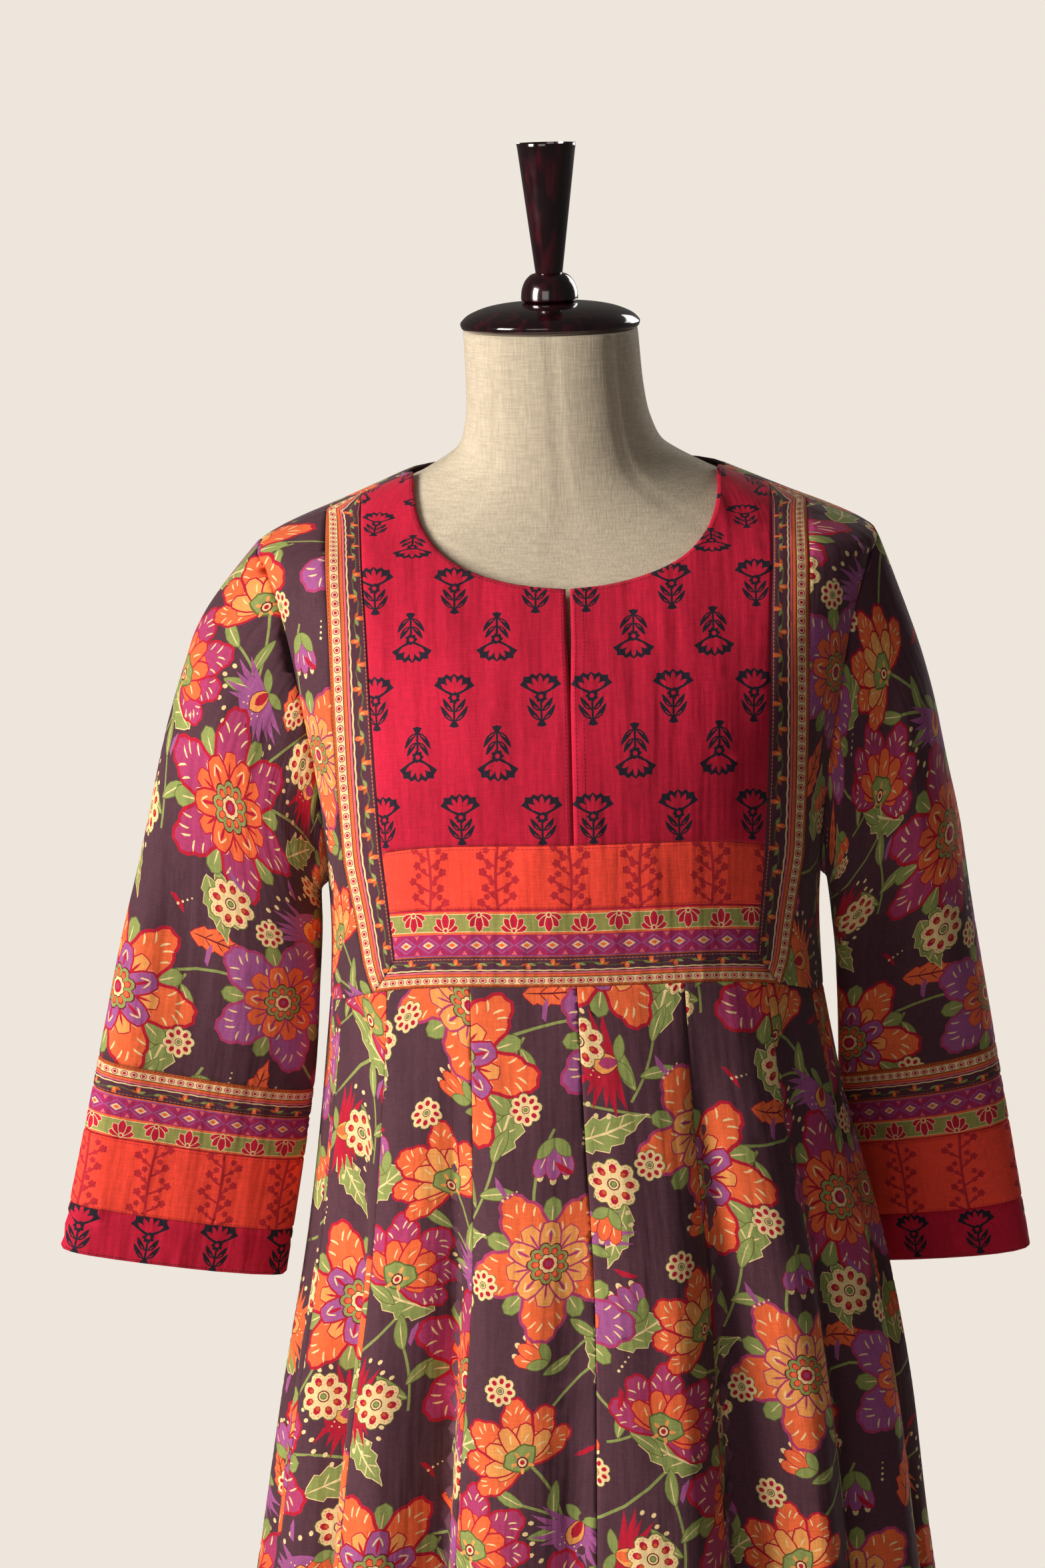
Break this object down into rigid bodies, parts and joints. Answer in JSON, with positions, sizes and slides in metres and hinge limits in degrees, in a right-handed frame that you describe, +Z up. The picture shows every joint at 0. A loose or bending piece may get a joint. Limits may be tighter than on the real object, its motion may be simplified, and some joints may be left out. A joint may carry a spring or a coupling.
{
  "type": "anarkali kurta on a limbless dress form",
  "caption": "Long flared kurta with a print-banded yoke, gored skirt and cropped sleeves, worn by a limbless dress form on a round-footed stand.",
  "frame": {"origin": "centre of the underside of the stand's foot, on the floor", "axes": "+Z up; -Y is the front of the garment; +X is the right-hand side seen from the front"},
  "size_m": [0.6497, 0.5635, 1.6139],
  "materials": {
    "plum_floral": "matt printed cotton",
    "crimson": "matt block-printed cotton",
    "coral": "matt block-printed cotton",
    "lotus_border": "matt printed border",
    "frame_border": "matt printed border",
    "form_linen": "matt natural linen",
    "dark_wood": "gloss lacquer"
  },
  "bodies": {
    "root": {"stand_foot": "dark_wood", "stand_pole": "dark_wood", "form_torso": "form_linen", "form_neck_cap": "dark_wood", "form_finial": "dark_wood", "yoke_left": "crimson", "yoke_right": "crimson", "yoke_coral_band": "coral", "yoke_border_band": "lotus_border", "yoke_frame_bottom": "frame_border", "yoke_frame_left": "frame_border", "yoke_frame_right": "frame_border", "front_side_left": "plum_floral", "front_side_right": "plum_floral", "back": "plum_floral", "kali_01": "plum_floral", "kali_02": "plum_floral", "kali_03": "plum_floral", "kali_04": "plum_floral", "kali_05": "plum_floral", "kali_06": "plum_floral", "kali_07": "plum_floral", "kali_08": "plum_floral", "kali_09": "plum_floral", "kali_10": "plum_floral", "kali_11": "plum_floral", "kali_12": "plum_floral", "kali_13": "plum_floral", "kali_14": "plum_floral", "kali_15": "plum_floral", "kali_16": "plum_floral", "sleeve_left": "plum_floral", "sleeve_left_frame_band": "frame_border", "sleeve_left_border_band": "lotus_border", "sleeve_left_coral_band": "coral", "sleeve_left_hem_band": "crimson", "sleeve_right": "plum_floral", "sleeve_right_frame_band": "frame_border", "sleeve_right_border_band": "lotus_border", "sleeve_right_coral_band": "coral", "sleeve_right_hem_band": "crimson"}
  },
  "joints": []
}
